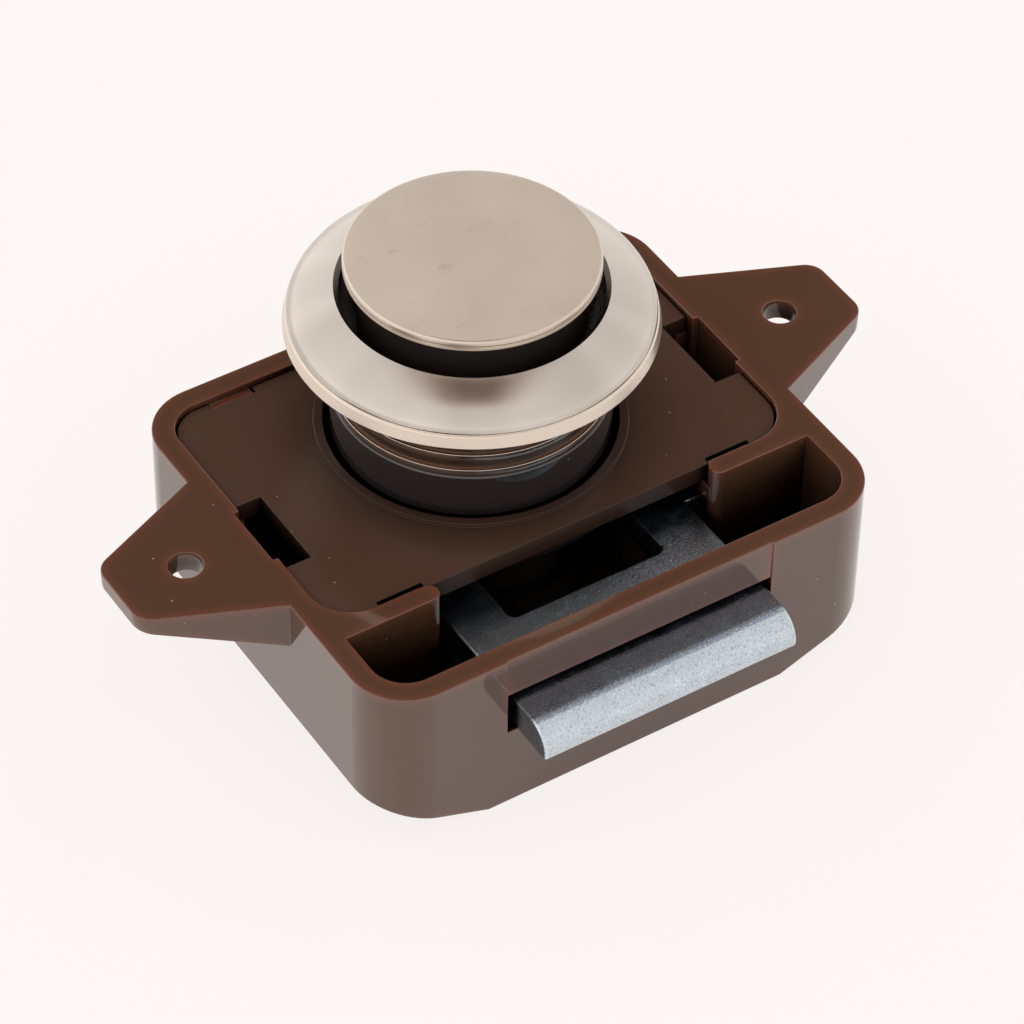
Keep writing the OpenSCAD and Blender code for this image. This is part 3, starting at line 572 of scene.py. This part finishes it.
class LOCK_OT_stage(bpy.types.Operator):
    """Set up the floor, the soft studio light and the camera"""

    bl_idname = "lock.stage"
    bl_label = "Stage"

    def execute(self, context):
        settings = context.scene.lock_stage
        context.scene.view_settings.view_transform = "Standard"
        self.make_floor(settings)
        self.make_world(context.scene, settings)
        self.make_camera(context.scene, settings)
        return {"FINISHED"}

    def make_floor(self, settings):
        """A pale floor that is mostly seen as its plain colour and keeps a soft shadow."""
        clear_selection()
        level = CAD_BOX[0][2] - mm(0.02)
        bpy.ops.mesh.primitive_plane_add(size=3.0, location=(0, 0, level))
        floor = bpy.context.object
        floor.name = "floor"
        bpy.ops.object.transform_apply(location=True)
        finish = Finish("floor_card")
        paths = finish.add("ShaderNodeLightPath").outputs
        seen = finish.math("MAXIMUM", paths["Is Camera Ray"], paths["Is Glossy Ray"])
        seen = finish.math("MAXIMUM", seen, paths["Is Transmission Ray"])
        share = finish.math("MULTIPLY", seen, settings.floor_share)
        plain = {"Color": (*settings.floor, 1.0), "Strength": 1.0}
        glow = finish.add("ShaderNodeEmission", plain)
        finish.set(Base_Color=(0.93, 0.91, 0.9, 1.0), Roughness=1.0, Specular_IOR_Level=0.0)
        blend = finish.add("ShaderNodeMixShader", {
            0: share, 1: finish.shader.outputs["BSDF"], 2: glow.outputs["Emission"]})
        finish.put(finish.output.inputs["Surface"], blend.outputs["Shader"])
        floor.data.materials.append(finish.material)

    def make_world(self, scene, settings):
        """A pale tent all round, with a dark gap that runs from overhead down its far side."""
        world = bpy.data.worlds.new("light_tent")
        world.use_nodes = True
        tent = Nodes(world.node_tree)
        way = tent.add("ShaderNodeTexCoord").outputs["Generated"]
        a = settings.azimuth
        across = tent.vector("DOT_PRODUCT", way, (math.cos(a), math.sin(a), 0.0))["Value"]
        toward = tent.vector("DOT_PRODUCT", way, (math.sin(a), -math.cos(a), 0.0))["Value"]
        height = tent.vector("DOT_PRODUCT", way, (0.0, 0.0, 1.0))["Value"]
        aside = tent.math("ABSOLUTE", across)
        narrow = tent.remap(aside, 0.1, 0.25, 1.0, 0.0, "SMOOTHSTEP")
        high = tent.remap(height, 0.45, 0.6, 0.0, 1.0, "SMOOTHSTEP")
        far = tent.remap(toward, -0.05, 0.25, 1.0, 0.0, "SMOOTHSTEP")
        gap = tent.math("MULTIPLY", narrow, tent.math("MULTIPLY", high, far))
        level = tent.remap(across, -0.5, 0.5, settings.tent_level, 0.82 * settings.tent_level)
        for share in (tent.remap(toward, 0.1, 0.6, 1.0, settings.front_level, "SMOOTHSTEP"),
                      tent.remap(height, 0.0, 0.95, 1.15, 0.9),
                      tent.remap(gap, 0.0, 1.0, 1.0, settings.gap_level)):
            level = tent.math("MULTIPLY", level, share)
        shade = tent.mix(gap, (1.0, 0.975, 0.955, 1.0), (1.0, 0.62, 0.48, 1.0))
        sky = tent.add("ShaderNodeBackground", {"Color": shade, "Strength": level})
        tent.add("ShaderNodeOutputWorld", {"Surface": sky.outputs["Background"]})
        scene.world = world

    def make_camera(self, scene, settings):
        """A long lens that looks down at the lock's front corner."""
        a, e, r = settings.azimuth, settings.elevation, settings.roll
        back = Vector((math.sin(a) * math.cos(e), -math.cos(a) * math.cos(e), math.sin(e)))
        level = Vector((math.cos(a), math.sin(a), 0.0))
        plumb = back.cross(level)
        right = level * math.cos(r) + plumb * math.sin(r)
        up = plumb * math.cos(r) - level * math.sin(r)
        bpy.ops.object.camera_add()
        camera = bpy.context.object
        camera.name = "camera"
        place = Matrix((right, up, back)).transposed().to_4x4()
        place.translation = Vector(settings.aim) + back * settings.distance
        camera.matrix_world = place
        camera.data.sensor_width = 36.0
        camera.data.lens = settings.lens
        camera.data.clip_start = 0.01
        scene.camera = camera


class LOCK_OT_case(bpy.types.Operator):
    """Round the edges of the moulded case and give it its reddish brown"""

    bl_idname = "lock.case"
    bl_label = "Case"

    def execute(self, context):
        sizes, colours = context.scene.lock_sizes, context.scene.lock_colours
        brown = moulded_plastic("case_brown", colours.case, colours.case_edge, dust=0.03,
                                ior=1.58, coat=0.3)
        piece = copied("case_moulding", "case", brown)
        round_chosen(piece, self.at_foot, sizes.foot_edge, 4)
        soften(piece, sizes.case_edge)
        fit(piece, "case", "housing")
        return {"FINISHED"}

    def at_foot(self, edge):
        """Whether an edge lies between the case's foot and an outer wall."""
        if len(edge.link_faces) != 2 or any(v.co.z > mm(-10) for v in edge.verts):
            return False
        low, high = sorted(face.normal.z for face in edge.link_faces)
        return low < -0.85 and abs(high) < 0.1


class LOCK_OT_cover(bpy.types.Operator):
    """Round the edges of the snap-in cover and give it its dark brown"""

    bl_idname = "lock.cover"
    bl_label = "Cover"

    def execute(self, context):
        sizes, colours = context.scene.lock_sizes, context.scene.lock_colours
        # Painted shade: hollows at 0.85 also darken the cover round the tube, as painted shade of
        # the rosette and a painted reflection of the black tube.
        brown = moulded_plastic("cover_brown", colours.cover, gloss=0.18, dust=0.07, ior=1.4,
                                hollows=0.85)
        piece = copied("cover_moulding", "cover", brown)
        soften(piece, sizes.cover_edge)
        fit(piece, "cover", "housing")
        return {"FINISHED"}


class LOCK_OT_tube(bpy.types.Operator):
    """Round the edges of the guide tube and give it its gloss black"""

    bl_idname = "lock.tube"
    bl_label = "Guide tube"

    def execute(self, context):
        sizes, colours = context.scene.lock_sizes, context.scene.lock_colours
        black = moulded_plastic("tube_black", colours.black, ior=1.55, coat=0.8, hollows=None)
        piece = copied("tube_moulding", "guide_tube", black)
        soften(piece, sizes.tube_edge)
        fit(piece, "guide_tube", "housing")
        return {"FINISHED"}


class LOCK_OT_rosette(bpy.types.Operator):
    """Turn the rosette: satin dome, band with a painted highlight, polished ribs and grooves with
    painted shade
    """

    bl_idname = "lock.rosette"
    bl_label = "Rosette"

    def execute(self, context):
        sizes, colours = context.scene.lock_sizes, context.scene.lock_colours
        low, high = span("rosette", 2)
        seat = low + COLLAR_HEIGHT
        section = self.collar(sizes, low, seat) + self.dome(low, seat, high)
        piece = turned("rosette_turning", section, 192)
        for finish in (satin_nickel("dome_nickel", colours.dome, 0.2, fanned=True),
                       satin_nickel("collar_nickel", colours.nickel, 0.18),
                       satin_nickel("groove_shade_nickel", colours.groove, 0.26),
                       satin_nickel("band_lit_nickel", colours.band, 0.24)):
            piece.data.materials.append(finish)
        for face in piece.data.polygons:
            reach, height = face.center.xy.length, face.center.z
            # Faces between the ribs get the dark groove colour as painted shade.
            if height < mm(seat - 0.05) and reach > mm(BORE_RADIUS + 0.15):
                face.material_index = 2 if reach < sizes.rib_radius - mm(0.07) else 1
            # Faces of the band get the brighter band colour as a painted highlight.
            elif height < mm(seat + 1.4) and reach > mm(15):
                face.material_index = 3
        fit(piece, "rosette", "rosette")
        return {"FINISHED"}

    def collar(self, sizes, low, seat):
        """Section of the collar from its foot to the rosette's seat, with square ribs round it."""
        root, rib = sizes.collar_radius * 1000, sizes.rib_radius * 1000
        pitch, width, soft = sizes.rib_pitch * 1000, sizes.rib_width * 1000, 0.06
        line = [(BORE_RADIUS, low)]
        for i in range(int((seat - low - 1.5 * width) / pitch) + 1):
            foot = low + i * pitch
            line += [(root, foot)] if i else []
            line += arc((rib - soft, foot + soft), soft, -90, 0, 3)
            line += arc((rib - soft, foot + width - soft), soft, 0, 90, 3)
            line += [(root, foot + width)]
        return line + arc((root + 0.12, seat - 0.12), 0.12, 180, 90, 3)

    def dome(self, low, seat, high):
        """Section of the flared band, the crease, the dome, the mouth and the bore."""
        rim = span("rosette", 0)[1]
        crease = seat + BAND_HEIGHT
        wide = rim - 0.36 - DOME_LEVEL_RADIUS
        turn = math.acos((MOUTH_RADIUS + 0.1 - DOME_LEVEL_RADIUS) / wide)
        tall = (high - crease) / math.sin(turn)
        line = arc((rim - 0.2, seat + 0.2), 0.2, -90, 8, 8)
        line += arc((rim - 0.4, crease - 0.32), 0.18, 12, 80, 6)
        line += [(rim - 0.4, crease - 0.1)]
        for angle in (turn * i / 32 for i in range(33)):
            out, up = wide * math.cos(angle), tall * math.sin(angle)
            line.append((DOME_LEVEL_RADIUS + out, crease + up))
        return line + [(MOUTH_RADIUS, high - 0.1), (BORE_RADIUS, high - 0.45), (BORE_RADIUS, low)]


class LOCK_OT_knob(bpy.types.Operator):
    """Turn the knob's cap and finish its core, screw and plunger"""

    bl_idname = "lock.knob"
    bl_label = "Knob"

    def execute(self, context):
        sizes, colours = context.scene.lock_sizes, context.scene.lock_colours
        cap = turned("cap_turning", self.section(sizes), 192)
        cap.data.materials.append(satin_nickel("face_nickel", colours.cap, 0.55, smudged=True))
        cap.data.materials.append(satin_nickel("side_nickel", colours.nickel, 0.22))
        for face in cap.data.polygons:
            face.material_index = 0 if face.normal.z > 0.98 else 1
        fit(cap, "knob_cap", "knob")
        paint("knob_core", moulded_plastic("core_black", colours.black, gloss=0.04, ior=1.6,
                                           hollows=None))
        paint("plunger", moulded_plastic("plunger_black", colours.black, gloss=0.16, ior=1.5))
        paint("knob_screw", spring_steel("screw_steel", colours.steel))
        return {"FINISHED"}

    def section(self, sizes):
        """Section of the cap: crowned face, soft edge, side groove, underside and boss."""
        rim = span("knob_cap", 0)[1]
        foot, top = span("knob_cap", 2)
        under, crown = top - CAP_THICKNESS, sizes.cap_crown * 1000
        seat = top - SCREW_SEAT_DEPTH
        line = [(rim * s, top - crown * s * s) for s in (0.0, 0.2, 0.4, 0.6, 0.8, 0.93)]
        line += arc((rim - 0.25, top - crown - 0.25), 0.25, 90, 0, 8)
        line += [(rim - cut, top - down)
                 for cut, down in ((0, 0.69), (0.13, 0.71), (0.13, 0.77), (0, 0.79))]
        line += arc((rim - 0.2, under + 0.2), 0.2, 0, -85, 6)
        line += [(BOSS_RADIUS, under), (BOSS_RADIUS, foot + 0.2), (BOSS_RADIUS - 0.2, foot)]
        return line + [(SCREW_SEAT_RADIUS, foot), (SCREW_SEAT_RADIUS, seat), (0.0, seat)]


class LOCK_OT_bolt(bpy.types.Operator):
    """Round the bolt's edges and plate it with zinc, with painted shade on the flats and bright on
    the edges
    """

    bl_idname = "lock.bolt"
    bl_label = "Bolt"

    def execute(self, context):
        sizes, colours = context.scene.lock_sizes, context.scene.lock_colours
        piece = copied("bolt_forging", "bolt",
                       zinc_plate("bolt_zinc", colours.zinc),
                       zinc_plate("bolt_zinc_edge", colours.zinc, 1.0),
                       zinc_plate("bolt_zinc_shaded", colours.shaded_zinc))
        soften(piece, sizes.bolt_edge, 1)
        # Faces that point up or to the ends get the darker zinc as painted shade, chosen by which
        # way a face points.
        for face in piece.data.polygons:
            if face.normal.z > 0.95 or abs(face.normal.x) > 0.95:
                face.material_index = 2
        fit(piece, "bolt", "bolt")
        return {"FINISHED"}


class LOCK_OT_springs(bpy.types.Operator):
    """Wind the return spring, the two bolt springs and the latch wire"""

    bl_idname = "lock.springs"
    bl_label = "Springs"

    def execute(self, context):
        steel = spring_steel("spring_wire", context.scene.lock_colours.steel)
        low, high = span("return_spring", 2)
        low, high = low + RETURN_WIRE / 2, high - RETURN_WIRE / 2
        coil = self.coil(RETURN_RADIUS, low, high, RETURN_CURLS)
        spring = bent_wire("return_coil", coil, RETURN_WIRE)
        self.hold(spring, "return_spring", steel, "knob",
                  (0, 0, mm(low + 0.5)), (0, 0, mm(high - 0.5)))
        for side in ("left", "right"):
            node = "bolt_spring_" + side
            x, z = (sum(span(node, axis)) / 2 for axis in (0, 2))
            front, rear = span(node, 1)
            front, rear = front + BOLT_WIRE / 2, rear - BOLT_WIRE / 2
            upright = self.coil(BOLT_RADIUS, front, rear, BOLT_CURLS)
            coil = [(x + across, along, z - up) for across, up, along in upright]
            spring = bent_wire("bolt_coil_" + side, coil, BOLT_WIRE)
            self.hold(spring, node, steel, "bolt",
                      (0, mm(rear - 0.3), 0), (0, mm(front + 0.3), 0))
        wire = bent_wire("latch_spring", self.latch_path(), LATCH_WIRE)
        wire.data.materials.append(steel)
        fit(wire, "latch_wire", "housing")
        return {"FINISHED"}

    def coil(self, radius, low, high, curls):
        """Points of an upright coil of evenly spaced curls."""
        steps = CURL_STEPS * curls
        return [(radius * math.cos(a), radius * math.sin(a), low + (high - low) * i / steps)
                for i, a in ((i, math.tau * i / CURL_STEPS) for i in range(steps + 1))]

    def hold(self, spring, node, finish, body, start, end):
        """Give a spring its finish, hide its node and bake its place into its points."""
        spring.data.materials.append(finish)
        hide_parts(node)
        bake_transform(spring)

    def latch_path(self):
        """Points of the latch wire: tip, bend, arm, coil of two and a half curls and tail."""
        tip_z, bend, bend_y, curl, curl_z, lead = -5.88, 1.4, 9.125, 2.0, -13.0, 1.15
        arm_y = bend_y + bend
        path = [(0, 7.9, tip_z), (0, 8.51, tip_z)]
        for a in (math.radians(15 * i) for i in range(7)):
            path.append((0, bend_y + bend * math.sin(a), tip_z - bend + bend * math.cos(a)))
        for turns in (i / CURL_STEPS for i in range(CURL_STEPS * 5 // 2 + 1)):
            a = math.tau * turns
            path.append((curl * math.cos(a), arm_y + lead * turns, curl_z - curl * math.sin(a)))
        return path + [(-curl, 13.4, -11.5), (-curl, 13.4, -9)]


class LOCK_PT_panel(bpy.types.Panel):
    """Lists the lock's pieces and settings"""

    bl_idname = "LOCK_PT_panel"
    bl_label = "Push button lock"
    bl_space_type = "VIEW_3D"
    bl_region_type = "UI"
    bl_category = "Lock"

    def draw(self, context):
        scene = context.scene
        for operator in OPERATORS:
            self.layout.operator(operator.bl_idname)
        for group in (scene.lock_sizes, scene.lock_colours, scene.lock_stage):
            box = self.layout.box()
            for key in group.__annotations__:
                box.prop(group, key)


OPERATORS = (LOCK_OT_stage, LOCK_OT_case, LOCK_OT_cover, LOCK_OT_tube, LOCK_OT_rosette,
             LOCK_OT_knob, LOCK_OT_bolt, LOCK_OT_springs)
CLASSES = (LockSizes, LockColours, StageSettings, *OPERATORS, LOCK_PT_panel)


def register():
    for cls in CLASSES:
        bpy.utils.register_class(cls)
    bpy.types.Scene.lock_sizes = PointerProperty(type=LockSizes)
    bpy.types.Scene.lock_colours = PointerProperty(type=LockColours)
    bpy.types.Scene.lock_stage = PointerProperty(type=StageSettings)


def unregister():
    del bpy.types.Scene.lock_stage
    del bpy.types.Scene.lock_colours
    del bpy.types.Scene.lock_sizes
    for cls in reversed(CLASSES):
        bpy.utils.unregister_class(cls)


def main():
    """Register the add-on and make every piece."""
    register()
    bpy.ops.lock.stage()
    bpy.ops.lock.case()
    bpy.ops.lock.cover()
    bpy.ops.lock.tube()
    bpy.ops.lock.rosette()
    bpy.ops.lock.knob()
    bpy.ops.lock.bolt()
    bpy.ops.lock.springs()


if __name__ == "__main__":
    main()
